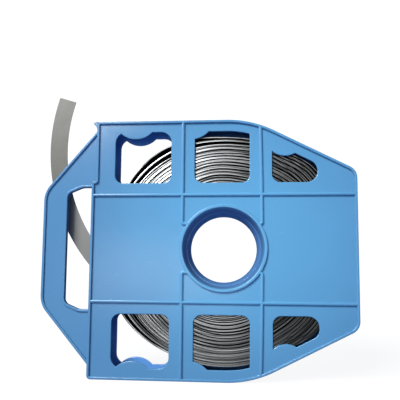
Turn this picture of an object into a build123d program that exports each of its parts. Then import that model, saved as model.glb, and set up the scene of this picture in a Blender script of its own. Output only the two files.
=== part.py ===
"""Coil of steel strapping in the moulded plastic tote that it is carried in and paid out from.

The coil hangs on the tote's hollow hub between two moulded shells, and the strap's end leaves
through a slot in the handle side and curls up beside the handle.

Frame: origin on the straight lower edge that the tote stands on, below the centre of the hub and
halfway between the two shells. +X points away from the handle, +Y from the front face to the back
face, +Z up. The sizes below are drawn about the centre of the hub, and the finished pieces are
lifted by half the tote's height.
"""
import os
from math import asin, cos, degrees, radians, sin, sqrt, tan

from build123d import *

# Strap
strap_width = 19.05
strap_thickness = 0.76

# Wound coil
coil_outer_radius = 119.5
coil_clearance = 0.5
coil_grooves = 3
groove_width = 1.6
groove_depth = 1.2
groove_margin = 14.0

# Room inside the tote
side_clearance = 0.6
room_above_coil = 12.5
room_right_of_coil = 13.3
room_left_of_coil = 17.1

# Shell thicknesses and raised edges
plate = 2.0
wall = 2.0
rib_height = 2.2
rib_width = 2.8

# Outline of the tote
shoulder_x = 2.5
shoulder_radius = 108.0
shoulder_slope = 27.0
right_corner = 13.0
lower_left_corner = 4.0
jog_above_grip = 6.2
jog_depth = 4.3
lip_reach = 3.6
lip_thickness = 2.2
lip_depth = 9.0

# Ribs on both faces: the upright ones run into the hub ring, the level ones pass above and below it
rib_left_tuck = 1.5
rib_right_tuck = 5.6
rib_right_bow = 1.8
rib_cross_gap = 11.0

# Windows in both faces, by their distances from the edges of the tote and from the ribs
window_inset = 11.6
window_left_margin = 24.3
window_left_rib_gap = 12.0
window_middle_left_gap = 12.9
window_middle_right_gap = 11.9
window_right_rib_gap = 11.1
window_right_margin = 39.0
window_cross_gap = 12.6
window_upper_corner = 11.0
window_lower_corner = 8.5
window_nose_fullness = 0.97

# Round zones that the windows keep clear of, over the posts that join the shells
zone_radius = 23.8
zone_rise = 4.8
post_left_shift = 8.1
post_middle_gap = 8.9
post_right_shift = 4.0
zone_right_radius = 19.7
zone_right_inset = 1.0

# Posts, with square pegs and sockets that key the shells together
post_radius = 4.0
post_inset = 3.5
peg_width = 3.6
peg_length = 5.0
peg_clearance = 0.15
socket_floor = 1.5

# Hub
hub_outer_radius = 44.4
hub_mouth_wall = 2.6
hub_draft = 2.8
hub_step = 0.8
hub_back_draft = 2.9
hub_throat_length = 8.0
hub_skin = 2.2

# Handle
handle_bar = 25.5
handle_end = 2.2
handle_start_drop = 8.6
handle_corner = 26.0
handle_depth = 5.5
handle_web = 2.0
handle_rim = 2.8
grip_reach = 26.4
grip_half_length = 57.2
grip_flare = 6.6
grip_flare_reach = 15.5
grip_corner = 7.0
grip_bend = 14.0

# Slot for the strap, and the strap's free end, which leans away from upright as it comes out
slot_z = -8.5
slot_margin = 6.0
slot_half_width = 4.0
tail_lean = 39.6
tail_radius = 185.0
tail_length = 184.0
tail_inside = 11.5
tail_leaves_at = 213.1
tail_sections = 8

# Heights and sides that follow from the sizes above
cavity_half = strap_width / 2 + side_clearance
face_half = cavity_half + plate
half_height = coil_outer_radius + room_above_coil + wall
right_x = coil_outer_radius + room_right_of_coil + wall
left_x = -(coil_outer_radius + room_left_of_coil + wall)
upper_left_x = left_x + jog_depth
coil_bore_radius = hub_outer_radius + coil_clearance
hub_mouth_radius = hub_outer_radius - hub_mouth_wall
hub_middle_radius = hub_mouth_radius - hub_draft
hub_throat_radius = hub_middle_radius - hub_step - hub_back_draft
rib_left_x = rib_left_tuck - hub_outer_radius
rib_right_x = hub_outer_radius - rib_right_tuck
rib_cross_z = hub_outer_radius + rib_cross_gap
grip_left_x = left_x - grip_reach
grip_bend_x = grip_left_x + grip_flare_reach
grip_top_z = grip_half_length + grip_flare
handle_left_x = grip_left_x - handle_bar
handle_corner_z = grip_half_length + handle_end
handle_start_z = half_height - handle_start_drop
jog_height = grip_top_z + jog_above_grip

# The shoulder arc runs from the level edge into the slope, which runs on to the right side
slope = radians(shoulder_slope)
shoulder_middle = (
    shoulder_x + shoulder_radius * sin(slope / 2),
    half_height - shoulder_radius * (1 - cos(slope / 2)),
)
shoulder_end = (
    shoulder_x + shoulder_radius * sin(slope),
    half_height - shoulder_radius * (1 - cos(slope)),
)
right_corner_z = shoulder_end[1] - (right_x - shoulder_end[0]) * tan(slope)

# Outline of one face, with the lip at the upper left and the jog below it
with BuildSketch() as outline:
    with BuildLine():
        Line((shoulder_x, half_height), (upper_left_x - lip_reach, half_height))
        Line((upper_left_x - lip_reach, half_height), (upper_left_x - lip_reach, half_height - lip_thickness))
        ThreePointArc(
            (upper_left_x - lip_reach, half_height - lip_thickness),
            (upper_left_x - 0.3 * lip_reach, half_height - 0.55 * lip_depth),
            (upper_left_x, half_height - lip_depth),
        )
        Line((upper_left_x, half_height - lip_depth), (upper_left_x, jog_height))
        Line((upper_left_x, jog_height), (left_x, jog_height))
        Line((left_x, jog_height), (left_x, -half_height))
        Line((left_x, -half_height), (shoulder_x, -half_height))
        ThreePointArc(
            (shoulder_x, -half_height),
            (shoulder_middle[0], -shoulder_middle[1]),
            (shoulder_end[0], -shoulder_end[1]),
        )
        Line((shoulder_end[0], -shoulder_end[1]), (right_x, -right_corner_z))
        Line((right_x, -right_corner_z), (right_x, right_corner_z))
        Line((right_x, right_corner_z), shoulder_end)
        ThreePointArc(shoulder_end, shoulder_middle, (shoulder_x, half_height))
    make_face()
    fillet(outline.vertices().group_by(Axis.X)[-1], right_corner)
    fillet(outline.vertices().group_by(Axis.Y)[0].sort_by(Axis.X)[0], lower_left_corner)

# The room inside the walls
with BuildSketch() as room:
    add(outline.sketch)
    offset(amount=-wall, kind=Kind.INTERSECTION, mode=Mode.REPLACE)

# Window nearest the handle, above the middle
window_top = half_height - window_inset
window_inner_z = rib_cross_z + window_cross_gap
window_left_edge = left_x + window_left_margin
window_left_end = rib_left_x - window_left_rib_gap
post_left_x = (window_left_edge + window_left_end) / 2 - post_left_shift
zone_z = half_height + zone_rise
with BuildSketch() as window_left:
    with Locations(((window_left_edge + window_left_end) / 2, (window_inner_z + window_top) / 2)):
        Rectangle(window_left_end - window_left_edge, window_top - window_inner_z)
    fillet(window_left.vertices().group_by(Axis.Y)[0], window_lower_corner)
    fillet(window_left.vertices().group_by(Axis.Y)[-1], window_upper_corner)
    with Locations((post_left_x, zone_z)):
        Circle(zone_radius, mode=Mode.SUBTRACT)

# Middle window, whose top follows the shoulder
window_middle_edge = rib_left_x + window_middle_left_gap
window_middle_end = rib_right_x - window_middle_right_gap
post_middle_x = rib_left_x + post_middle_gap
shoulder_centre_z = half_height - shoulder_radius
window_arc = shoulder_radius - window_inset
window_middle_end_z = shoulder_centre_z + sqrt(window_arc**2 - (window_middle_end - shoulder_x) ** 2)
window_arc_turn = asin((window_middle_end - shoulder_x) / window_arc) / 2
with BuildSketch() as window_middle:
    with BuildLine():
        Line((shoulder_x, window_top), (window_middle_edge, window_top))
        Line((window_middle_edge, window_top), (window_middle_edge, window_inner_z))
        Line((window_middle_edge, window_inner_z), (window_middle_end, window_inner_z))
        Line((window_middle_end, window_inner_z), (window_middle_end, window_middle_end_z))
        ThreePointArc(
            (window_middle_end, window_middle_end_z),
            (
                shoulder_x + window_arc * sin(window_arc_turn),
                shoulder_centre_z + window_arc * cos(window_arc_turn),
            ),
            (shoulder_x, window_top),
        )
    make_face()
    fillet(window_middle.vertices().group_by(Axis.Y)[0], window_lower_corner)
    with Locations((post_middle_x, zone_z)):
        Circle(zone_radius + 0.8, mode=Mode.SUBTRACT)

# Window at the right, whose top follows the slope and whose nose is almost as round as fits
window_right_edge = rib_right_x + window_right_rib_gap
window_right_end = right_x - window_right_margin
slope_top_z = shoulder_end[1] - window_inset / cos(slope)
window_slope_edge_z = slope_top_z - (window_right_edge - shoulder_end[0]) * tan(slope)
window_slope_end_z = slope_top_z - (window_right_end - shoulder_end[0]) * tan(slope)
nose_room = (window_slope_end_z - window_inner_z) / (1 + tan(radians(45) - slope / 2))
window_nose = window_nose_fullness * nose_room
slope_distance = shoulder_end[0] * sin(slope) + shoulder_end[1] * cos(slope)
post_right = (
    (slope_distance - wall - post_inset) * sin(slope) + post_right_shift * cos(slope),
    (slope_distance - wall - post_inset) * cos(slope) - post_right_shift * sin(slope),
)
zone_right = (
    (slope_distance - zone_right_inset) * sin(slope) + post_right_shift * cos(slope),
    (slope_distance - zone_right_inset) * cos(slope) - post_right_shift * sin(slope),
)
with BuildSketch() as window_right:
    with BuildLine():
        Polyline(
            (window_right_edge, window_inner_z),
            (window_right_end, window_inner_z),
            (window_right_end, window_slope_end_z),
            (window_right_edge, window_slope_edge_z),
            close=True,
        )
    make_face()
    fillet(window_right.vertices().group_by(Axis.X)[-1], window_nose)
    fillet(window_right.vertices().group_by(Axis.Y)[0].sort_by(Axis.X)[0], window_lower_corner)
    with Locations(zone_right):
        Circle(zone_right_radius, mode=Mode.SUBTRACT)

# All windows, mirrored below the middle
with BuildSketch() as windows:
    add(window_left.sketch)
    add(window_middle.sketch)
    add(window_right.sketch)
    mirror(about=Plane.XZ)

# Raised rim, ribs and hub ring of one face
with BuildSketch() as raised:
    with Locations((rib_left_x, 0)):
        Rectangle(rib_width, 2 * half_height)
    with Locations((0, rib_cross_z), (0, -rib_cross_z)):
        Rectangle(4 * half_height, rib_width)
    with BuildLine():
        ThreePointArc(
            (rib_right_x - rib_right_bow - rib_width / 2, half_height),
            (rib_right_x - rib_width / 2, 0),
            (rib_right_x - rib_right_bow - rib_width / 2, -half_height),
        )
        Line(
            (rib_right_x - rib_right_bow - rib_width / 2, -half_height),
            (rib_right_x - rib_right_bow + rib_width / 2, -half_height),
        )
        ThreePointArc(
            (rib_right_x - rib_right_bow + rib_width / 2, -half_height),
            (rib_right_x + rib_width / 2, 0),
            (rib_right_x - rib_right_bow + rib_width / 2, half_height),
        )
        Line(
            (rib_right_x - rib_right_bow + rib_width / 2, half_height),
            (rib_right_x - rib_right_bow - rib_width / 2, half_height),
        )
    make_face()
    add(outline.sketch, mode=Mode.INTERSECT)
    Circle(hub_outer_radius)
    Circle(hub_mouth_radius, mode=Mode.SUBTRACT)
with BuildSketch() as rim:
    add(outline.sketch)
    offset(amount=-rib_width, kind=Kind.INTERSECTION, mode=Mode.SUBTRACT)

# Posts that join the shells, behind the zones that the windows keep clear of
post_z = half_height - wall - post_inset
post_places = [
    (post_left_x, post_z),
    (post_middle_x, post_z),
    post_right,
    (post_left_x, -post_z),
    (post_middle_x, -post_z),
    (post_right[0], -post_right[1]),
]

# Handle outline and the opening for the hand
with BuildSketch() as handle_outline:
    with BuildLine():
        Polyline(
            (upper_left_x + 1, handle_start_z),
            (upper_left_x, handle_start_z),
            (handle_left_x, handle_corner_z),
            (handle_left_x, -handle_corner_z),
            (upper_left_x, -handle_start_z),
            (upper_left_x + 1, -handle_start_z),
            close=True,
        )
    make_face()
    fillet(handle_outline.vertices().group_by(Axis.X)[0], handle_corner)
with BuildSketch() as grip:
    with BuildLine():
        Polyline(
            (left_x + 0.5 * wall, grip_top_z),
            (grip_bend_x, grip_top_z),
            (grip_left_x, grip_half_length),
            (grip_left_x, -grip_half_length),
            (grip_bend_x, -grip_top_z),
            (left_x + 0.5 * wall, -grip_top_z),
            close=True,
        )
    make_face()
    fillet(grip.vertices().group_by(Axis.X)[1], grip_bend)
    fillet(grip.vertices().group_by(Axis.X)[0], grip_corner)
with BuildSketch() as handle_rims:
    add(handle_outline.sketch)
    offset(amount=-handle_rim, kind=Kind.INTERSECTION, mode=Mode.SUBTRACT)
with BuildSketch() as grip_rim:
    add(grip.sketch)
    offset(amount=handle_rim, kind=Kind.INTERSECTION, mode=Mode.ADD)
    add(grip.sketch, mode=Mode.SUBTRACT)

# Slot in the handle side, as long as the leaning strap needs
slot_length = strap_width / sin(radians(tail_lean)) + 2 * slot_margin

# Hub sections, as radius and place along Y
front_hub_points = [
    (hub_outer_radius, 0),
    (hub_outer_radius, -cavity_half - plate / 2),
    (hub_mouth_radius, -cavity_half - plate / 2),
    (hub_middle_radius, 0),
]
throat_start = face_half + rib_height - hub_throat_length
back_hub_points = [
    (hub_outer_radius, 0),
    (hub_outer_radius, cavity_half + plate),
    (hub_throat_radius, cavity_half + plate),
    (hub_throat_radius, throat_start),
    (hub_middle_radius - hub_step, 0),
]

# Front shell: face with windows, wall, rim and ribs, half of the hub, handle and sockets
with BuildPart() as front_shell:
    with BuildSketch(Plane.XZ.offset(cavity_half)):
        add(outline.sketch)
        add(windows.sketch, mode=Mode.SUBTRACT)
        Circle(hub_mouth_radius, mode=Mode.SUBTRACT)
    extrude(amount=plate)
    with BuildSketch(Plane.XZ):
        add(outline.sketch)
        add(room.sketch, mode=Mode.SUBTRACT)
    extrude(amount=cavity_half)
    with BuildSketch(Plane.XZ.offset(face_half)):
        add(raised.sketch)
        add(rim.sketch)
    extrude(amount=rib_height)
    with BuildSketch(Plane.XY):
        with BuildLine():
            Polyline(*front_hub_points, close=True)
        make_face()
    revolve(axis=Axis.Y)
    with BuildSketch(Plane.XZ):
        with Locations(*post_places):
            Circle(post_radius)
    extrude(amount=cavity_half)
    with BuildSketch(Plane.XZ):
        with Locations(*post_places):
            Rectangle(peg_width + 2 * peg_clearance, peg_width + 2 * peg_clearance)
    extrude(amount=cavity_half - socket_floor, mode=Mode.SUBTRACT)
    with BuildSketch(Plane.XZ.offset(face_half - (handle_depth + handle_web) / 2)):
        add(handle_outline.sketch)
        add(grip.sketch, mode=Mode.SUBTRACT)
        add(room.sketch, mode=Mode.SUBTRACT)
    extrude(amount=handle_web)
    with BuildSketch(Plane.XZ.offset(face_half - handle_depth)):
        add(handle_rims.sketch)
        add(grip_rim.sketch)
        add(grip.sketch, mode=Mode.SUBTRACT)
        add(room.sketch, mode=Mode.SUBTRACT)
        add(handle_outline.sketch, mode=Mode.INTERSECT)
    extrude(amount=handle_depth)
    with BuildSketch(Plane.XZ):
        with Locations((left_x, slot_z)):
            Rectangle(3 * wall, slot_length)
    extrude(amount=slot_half_width, mode=Mode.SUBTRACT)

# Back shell: the same face and wall mirrored, the hub's throat, and the pegs
with BuildPart() as back_shell:
    with BuildSketch(Plane.XZ.offset(-face_half)):
        add(outline.sketch)
        add(windows.sketch, mode=Mode.SUBTRACT)
        Circle(hub_throat_radius, mode=Mode.SUBTRACT)
    extrude(amount=plate)
    with BuildSketch(Plane.XZ.offset(-cavity_half)):
        add(outline.sketch)
        add(room.sketch, mode=Mode.SUBTRACT)
    extrude(amount=cavity_half)
    with BuildSketch(Plane.XZ.offset(-face_half - rib_height)):
        add(raised.sketch)
        add(rim.sketch)
    extrude(amount=rib_height)
    with BuildSketch(Plane.XZ.offset(-face_half - rib_height)):
        Circle(hub_throat_radius + hub_skin)
        Circle(hub_throat_radius, mode=Mode.SUBTRACT)
    extrude(amount=rib_height)
    with BuildSketch(Plane.XY):
        with BuildLine():
            Polyline(*back_hub_points, close=True)
        make_face()
    revolve(axis=Axis.Y)
    with BuildSketch(Plane.XZ.offset(-cavity_half)):
        with Locations(*post_places):
            Circle(post_radius)
    extrude(amount=cavity_half)
    with BuildSketch(Plane.XZ.offset(-cavity_half)):
        with Locations(*post_places):
            Rectangle(peg_width, peg_width)
    extrude(amount=cavity_half + peg_length)
    with BuildSketch(Plane.XZ.offset(-slot_half_width)):
        with Locations((left_x, slot_z)):
            Rectangle(3 * wall, slot_length)
    extrude(amount=slot_half_width, mode=Mode.SUBTRACT)

# Wound coil: a ring whose turns show as grooves on both ends
groove_pitch = (coil_outer_radius - coil_bore_radius - 2 * groove_margin) / (coil_grooves - 1)
with BuildPart() as coil:
    with BuildSketch(Plane.XY):
        with Locations(((coil_outer_radius + coil_bore_radius) / 2, 0)):
            Rectangle(coil_outer_radius - coil_bore_radius, strap_width)
        for groove in range(coil_grooves):
            groove_radius = coil_bore_radius + groove_margin + groove * groove_pitch
            for side in (-1, 1):
                with BuildLine():
                    Polyline(
                        (groove_radius - groove_width / 2, side * strap_width / 2),
                        (groove_radius + groove_width / 2, side * strap_width / 2),
                        (groove_radius, side * (strap_width / 2 - groove_depth)),
                        close=True,
                    )
                make_face(mode=Mode.SUBTRACT)
    revolve(axis=Axis.Y)

# Free end of the strap, flat to the faces and curled about a centre above the hub
tail_outer = tail_radius + strap_width / 2
tail_inner = tail_radius - strap_width / 2
tail_centre = (
    left_x + tail_radius * cos(radians(tail_lean)),
    slot_z + tail_radius * sin(radians(tail_lean)),
)
tail_start = radians(180 + tail_lean) + tail_inside / tail_radius
tail_end = radians(180 + tail_lean) - tail_length / tail_radius
tail_sweep = degrees(tail_start - tail_end)


def tail_point(radius, turn):
    """Point at that radius and turn about the free end's centre."""
    return (tail_centre[0] + radius * cos(turn), tail_centre[1] + radius * sin(turn))


with BuildPart() as tail:
    with BuildSketch(Plane.XZ.offset(-strap_thickness / 2)):
        with BuildLine():
            CenterArc(tail_centre, tail_outer, degrees(tail_end), tail_sweep)
            CenterArc(tail_centre, tail_inner, degrees(tail_end), tail_sweep)
            Line(tail_point(tail_outer, tail_end), tail_point(tail_inner, tail_end))
            Line(tail_point(tail_outer, tail_start), tail_point(tail_inner, tail_start))
        make_face()
    extrude(amount=strap_thickness)

# The quarter twist between the coil's last turn and the slot
leave = radians(tail_leaves_at)
leave_radius = coil_outer_radius - 1.5 * strap_thickness
leave_point = Vector(leave_radius * cos(leave), 0, leave_radius * sin(leave))
leave_way = Vector(sin(leave), 0, -cos(leave))
arrive_x, arrive_z = tail_point(tail_radius, tail_start)
arrive_point = Vector(arrive_x, 0, arrive_z)
arrive_way = Vector(sin(tail_start), 0, -cos(tail_start))
span = (arrive_point - leave_point).length
with BuildPart() as twist:
    for section in range(tail_sections + 1):
        t = section / tail_sections
        place = (
            leave_point * (2 * t**3 - 3 * t**2 + 1)
            + leave_way * (span * (t**3 - 2 * t**2 + t))
            + arrive_point * (3 * t**2 - 2 * t**3)
            + arrive_way * (span * (t**3 - t**2))
        )
        way = (
            leave_point * (6 * t**2 - 6 * t)
            + leave_way * (span * (3 * t**2 - 4 * t + 1))
            + arrive_point * (6 * t - 6 * t**2)
            + arrive_way * (span * (3 * t**2 - 2 * t))
        ).normalized()
        turn = radians(90) * (3 * t**2 - 2 * t**3)
        across = Vector(0, cos(turn), 0) + way.cross(Vector(0, 1, 0)) * sin(turn)
        with BuildSketch(Plane(origin=place, x_dir=across, z_dir=way)):
            Rectangle(strap_width, strap_thickness)
    loft()

# Coil and free end are one length of steel
with BuildPart() as strap_coil:
    add(coil.part)
    add(twist.part)
    add(tail.part)

# The finished pieces stand on the floor
standing = Location((0, 0, half_height))
front_shell.part.locate(standing)
back_shell.part.locate(standing)
strap_coil.part.locate(standing)

front_shell.part.label = "front_shell"
back_shell.part.label = "back_shell"
strap_coil.part.label = "strap_coil"

os.makedirs("parts", exist_ok=True)
export_step(front_shell.part, "parts/front_shell.step")
export_step(back_shell.part, "parts/back_shell.step")
export_step(strap_coil.part, "parts/strap_coil.step")
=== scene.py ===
"""Looks of the coil of steel strapping in its carry tote, with its floor, lamps and camera.

The shells and the strap are built again from the tote's own sizes, with the rounded ribs, softened
edges and loose turns that the plain solids leave out. Lengths are in metres. Shapes are drawn about
the hub's centre and lifted to stand on the floor: x is to the right, y is depth and z is height.
"""
from math import acos, atan2, cos, pi, radians, sin, sqrt, tan, tau

import bmesh
import bpy
import numpy as np
from bpy.props import FloatProperty, FloatVectorProperty, IntProperty, PointerProperty
from mathutils import Matrix, Vector
from mathutils.geometry import tessellate_polygon


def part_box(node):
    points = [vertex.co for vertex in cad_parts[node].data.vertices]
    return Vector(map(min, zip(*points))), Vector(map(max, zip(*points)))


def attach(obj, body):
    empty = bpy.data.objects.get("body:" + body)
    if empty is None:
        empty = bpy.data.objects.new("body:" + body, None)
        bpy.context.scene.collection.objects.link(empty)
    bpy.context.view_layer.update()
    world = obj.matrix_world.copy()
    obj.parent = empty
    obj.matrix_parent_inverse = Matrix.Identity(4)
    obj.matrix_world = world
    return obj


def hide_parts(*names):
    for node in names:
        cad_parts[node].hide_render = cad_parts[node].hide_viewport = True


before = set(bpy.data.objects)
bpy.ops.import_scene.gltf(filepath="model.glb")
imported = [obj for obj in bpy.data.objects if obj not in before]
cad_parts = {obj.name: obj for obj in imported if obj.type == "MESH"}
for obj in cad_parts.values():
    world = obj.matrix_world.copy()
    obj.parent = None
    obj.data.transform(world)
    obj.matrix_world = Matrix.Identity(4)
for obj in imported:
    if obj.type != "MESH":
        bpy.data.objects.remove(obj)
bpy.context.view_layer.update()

bl_info = {
    "name": "Strapping coil in a carry tote",
    "version": (1, 0, 0),
    "blender": (4, 5, 0),
    "location": "View3D > Sidebar > Strapping",
    "description": "Builds the tote, its wound strap, the studio and the camera",
    "category": "Add Mesh",
}

MM = 0.001
SHELL_LOW, SHELL_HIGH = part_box("back_shell")
HANDLE_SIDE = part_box("front_shell")[0].x
HALF_HEIGHT = SHELL_HIGH.z / 2
SAME_PLACE = 1e-7
EDGE_ROUNDING = 0.9 * MM
POST_RADIUS = 4.0 * MM
POST_FROM_WALL = 3.5 * MM
POST_IN_FACE = 0.4 * MM
SOCKET_HALF = 1.95 * MM
PEG_HALF = 1.8 * MM
BITE_ABOVE = 4.8 * MM
HIDDEN_SHARE = 0.3  # of the turns, from the bore out: the faces hide them
LEAVING_ANGLE = 213.1  # degrees round the coil where the strap leaves it
ROLLED_FACE, SLIT_EDGE, FREE_END = range(3)


def length(name, description, default):
    """A length property whose default is given in millimetres."""
    value = default * MM
    return FloatProperty(name=name, description=description, default=value, precision=5, unit="LENGTH")


def mm(*sizes):
    """Sizes given in millimetres."""
    return [size * MM for size in sizes]


def degrees(name, description, default):
    """An angle property whose default is given in degrees."""
    return FloatProperty(name=name, description=description, default=radians(default), subtype="ANGLE")


def lamp_power(name, description, default):
    """The power of a lamp in watts."""
    return FloatProperty(name=name, description=description, default=default, unit="POWER")


def number(name, description, default):
    """A plain number, as for a brightness where 1 shows as white."""
    return FloatProperty(name=name, description=description, default=default, min=0)


def colour(name, description, default):
    """A colour property."""
    return FloatVectorProperty(name=name, description=description, default=default, subtype="COLOR", size=3)


class ToteSizes(bpy.types.PropertyGroup):
    """Sizes of the two shells."""

    plate: length("Plate", "Thickness of each face", 2.0)
    wall: length("Wall", "Thickness of the wall round the sides", 2.0)
    room: length("Room", "Half the depth between the faces", 10.125)
    rib_height: length("Rib height", "How far ribs and rim stand out of a face", 2.2)
    rib_width: length("Rib width", "Width of the ribs", 3.6)
    rim_width: length("Rim width", "Width of the rim and of the handle's edges", 2.8)
    softness: length("Edge softness", "Rounding of the edges of faces and windows", 0.8)
    shoulder_x: length("Shoulder start", "Where the level edge turns into the shoulder", 2.5)
    shoulder_radius: length("Shoulder radius", "Radius of the shoulder", 108.0)
    shoulder_slope: degrees("Shoulder slope", "Fall of the sloping edge", 27.0)
    right_corner: length("Right corner", "Rounding of the two right corners", 13.0)
    left_corner: length("Left corner", "Rounding of the lower left corner", 4.0)
    jog_height: length("Jog height", "Height of the step in the handle side", 70.0)
    jog_depth: length("Jog depth", "Depth of that step", 4.3)
    lip_reach: length("Lip reach", "How far the lip stands out at the upper left", 3.6)
    rib_left: length("Left rib", "Middle of the left upright rib", -42.5)
    rib_right: length("Right rib", "Middle of the right upright rib", 39.2)
    rib_bow: length("Rib bow", "How far the right rib bends in towards its ends", 1.8)
    rib_hook: length("Rib hooks", "Height at which the upright ribs turn in to the hub", 25.0)
    rib_cross: length("Level ribs", "Height of the level ribs from the hub's centre", 55.3)
    window_inset: length("Window inset", "Distance of the windows from the edge", 11.6)
    window_inner: length("Window sill", "Height of the windows' inner edges", 68.0)
    window_big_corner: length("Window upper corner", "Rounding of the outer window corners", 11.0)
    window_corner: length("Window lower corner", "Rounding of the inner window corners", 8.5)
    hub_outer: length("Hub", "Outside radius of the hub's ring", 45.2)
    hub_mouth: length("Hub mouth", "Radius of the hub's mouth in front", 41.8)
    hub_middle: length("Hub middle", "Radius of the front half's inner end", 39.0)
    hub_back: length("Hub step", "Radius of the back half's inner end", 38.2)
    hub_throat: length("Hub throat", "Radius of the round hole at the back", 35.3)
    handle_corner: length("Handle corner", "Rounding of the handle's two corners", 26.0)
    handle_depth: length("Handle depth", "Depth of the handle's raised edges", 5.5)
    handle_web: length("Handle web", "Thickness of the handle between its edges", 2.0)
    grip_reach: length("Grip reach", "How far the hand opening reaches from the body", 26.4)
    grip_half: length("Grip half length", "Half the length of the hand opening's far side", 57.2)
    grip_flare: length("Grip flare", "How much longer the opening is near the body", 6.6)
    slot_height: length("Slot height", "Middle of the strap's slot", -8.5)
    slot_length: length("Slot length", "Length of the strap's slot", 41.9)


class StrapSizes(bpy.types.PropertyGroup):
    """Sizes of the steel strap."""

    width: length("Width", "Width of the strap", 19.05)
    thickness: length("Thickness", "Gauge of the strap", 0.76)
    bore: length("Bore", "Radius of the innermost turn", 44.9)
    outside: length("Outside", "Radius of the outermost turn", 119.5)
    turns: IntProperty(name="Turns", description="Turns of strap on the coil", default=53, min=20, max=90)
    sag: length("Sag", "How far the outer turns bulge to the right", 5.5)
    flat_top: length("Flat top", "How much lower the outermost turns are at the top", 2.2)
    bulge: length("Bulge", "How far the outermost turns stand off at the upper left", 4.0)
    unevenness: length("Unevenness", "How far the turns' edges stray to front and back", 0.4)
    tail_radius: length("Tail radius", "Radius that the free end curls to", 185.0)
    tail_length: length("Tail length", "Length of strap outside the slot", 184.0)
    tail_lean: degrees("Tail lean", "Lean of the strap in the slot", 39.6)


class Finishes(bpy.types.PropertyGroup):
    """Colours of the parts, some of which carry painted light and shade."""

    plastic: colour("Plastic", "Sky blue of the moulded shells", (0.130, 0.402, 0.640))
    # Painted shade: the plastic darkens with distance from a middle point above the hub, where the light
    # falls off.
    plastic_painted_falloff: colour("Plastic, deeper", "Where the blue is a little darker", (0.098, 0.268, 0.462))
    # Painted light and shade inside the tote: a bright saturated blue near the handle for light coming
    # through the plastic, and a darker blue further right for shade.
    plastic_painted_inner_light: colour("Plastic inside", "Inside the tote, where light comes through", (0.14, 0.36, 0.74))
    plastic_painted_inner_shade: colour("Plastic inside, unlit", "Inside the tote, away from the handle", (0.08, 0.2, 0.4))
    # Painted shade: a darker blue deep in the hub's bore.
    plastic_painted_hub_shade: colour("Plastic in the hub", "Plastic deep in the hub", (0.08, 0.22, 0.46))
    handled: colour("Handling marks", "Pale marks on the plastic", (0.5, 0.68, 0.85))
    strap: colour("Strap", "Bare steel of the free end", (0.124, 0.122, 0.106))
    strap_dull: colour("Strap, dull", "Duller patches on the free end", (0.116, 0.114, 0.098))
    strap_lines: colour("Strap, lines", "Pale lines along the free end", (0.15, 0.147, 0.135))
    # Painted light: the free end is made paler near the slot, where the handle shades it.
    strap_painted_light: colour("Strap, lower part", "Free end near the slot", (0.24, 0.236, 0.215))
    # Painted shade: the wound faces are made near black, so the gaps between the turns show dark; the darker
    # patches vary at random.
    strap_wound_painted_shade: colour("Strap, wound", "Oiled faces of the strap on the coil", (0.03, 0.031, 0.034))
    strap_wound_dull_painted_shade: colour("Strap, wound, dull", "Darker patches on the coil", (0.024, 0.025, 0.027))
    edge: colour("Slit edge", "Bright slit edge of the strap", (0.66, 0.685, 0.70))
    edge_dull: colour("Slit edge, dull", "Slit edges of the duller turns", (0.2, 0.21, 0.215))
    floor: colour("Floor", "Plain pale floor and backdrop", (0.12, 0.12, 0.12))
    floor_mirrored: colour("Floor, mirrored", "Floor and backdrop in reflections", (0.02, 0.022, 0.025))
    room_light: colour("Room light", "Blue light that the room gives back", (0.16, 0.36, 1.0))


class Studio(bpy.types.PropertyGroup):
    """Lamps and camera."""

    key: lamp_power("Key lamp", "Power of the lamp at the upper left", 108.0)
    upper: lamp_power("Upper lamp", "Power of the lamp above the camera", 8.0)
    front: lamp_power("Front lamp", "Power of the broad weak lamp in front", 1.4)
    fill: lamp_power("Fill lamp", "Power of the weak lamp at the right", 5.0)
    ambient: number("Ambient", "Brightness of the room's light", 0.16)
    reflected: number("Reflected background", "Brightness of floor and backdrop in reflections", 0.04)
    returned: number("Returned light", "Bluish light that floor and backdrop give back", 0.35)
    focal_pixels: number("Focal length", "Focal length in pixels of a 400 pixel frame", 417.0)


def arc(centre, radius, start, end, steps):
    """Points (x, z) along an arc, with its angles in radians."""
    turns = np.linspace(start, end, steps + 1)
    return [(centre[0] + radius * cos(a), centre[1] + radius * sin(a)) for a in turns]


def circle(centre, radius, steps):
    """Closed round outline."""
    return arc(centre, radius, 0, tau, steps)[:-1]


def rounded(corners, steps=8):
    """Path through corners (x, z, radius), each rounded by its radius. Zero leaves a corner sharp."""
    points = []
    for i, (x, z, radius) in enumerate(corners):
        here = np.array((x, z))
        if radius == 0:
            points.append((x, z))
            continue
        before = np.array(corners[i - 1][:2]) - here
        after = np.array(corners[(i + 1) % len(corners)][:2]) - here
        before = before / np.linalg.norm(before)
        after = after / np.linalg.norm(after)
        half = acos(max(-1.0, min(1.0, float(before @ after)))) / 2
        middle = (before + after) / np.linalg.norm(before + after)
        centre = here + middle * radius / sin(half)
        first = here + before * radius / tan(half) - centre
        last = here + after * radius / tan(half) - centre
        start = atan2(first[1], first[0])
        sweep = (atan2(last[1], last[0]) - start + pi) % tau - pi
        points += arc(centre, radius, start, start + sweep, steps)
    return points


def crossing(outer, inner, radius):
    """Where the way from outside a circle to inside it meets the circle, seen from its centre."""
    way = inner - outer
    size, along = way @ way, outer @ way
    return outer - way * (along + sqrt(along**2 - size * (outer @ outer - radius**2))) / size


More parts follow.
